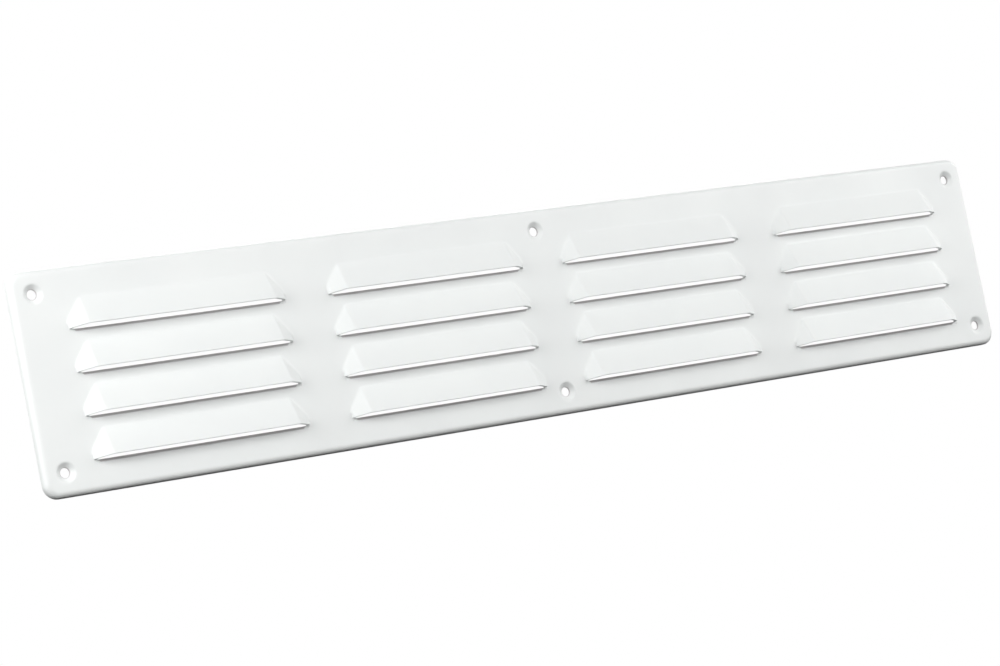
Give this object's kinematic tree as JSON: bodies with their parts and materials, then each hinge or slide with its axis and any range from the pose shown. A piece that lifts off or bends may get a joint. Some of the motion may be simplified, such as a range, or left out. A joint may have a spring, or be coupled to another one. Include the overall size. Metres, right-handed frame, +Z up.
{
  "type": "louvred ventilation grille",
  "caption": "Flat rectangular wall grille pressed from one white sheet, with rows of louvre hoods open at their lower lip, a turned-back edge and countersunk screw holes.",
  "frame": {"origin": "centre of the plate on the wall plane, which is the centre of the screw pattern", "axes": "+X along the grille's length, to the right for someone facing its front; +Z up, so the louvres open downwards; the front faces -Y and the wall is the plane Y = 0"},
  "size_m": [0.489, 0.0097, 0.089],
  "materials": {
    "white_coat": "satin powder coat"
  },
  "bodies": {
    "root": {"louvre_plate": "white_coat"}
  },
  "joints": []
}
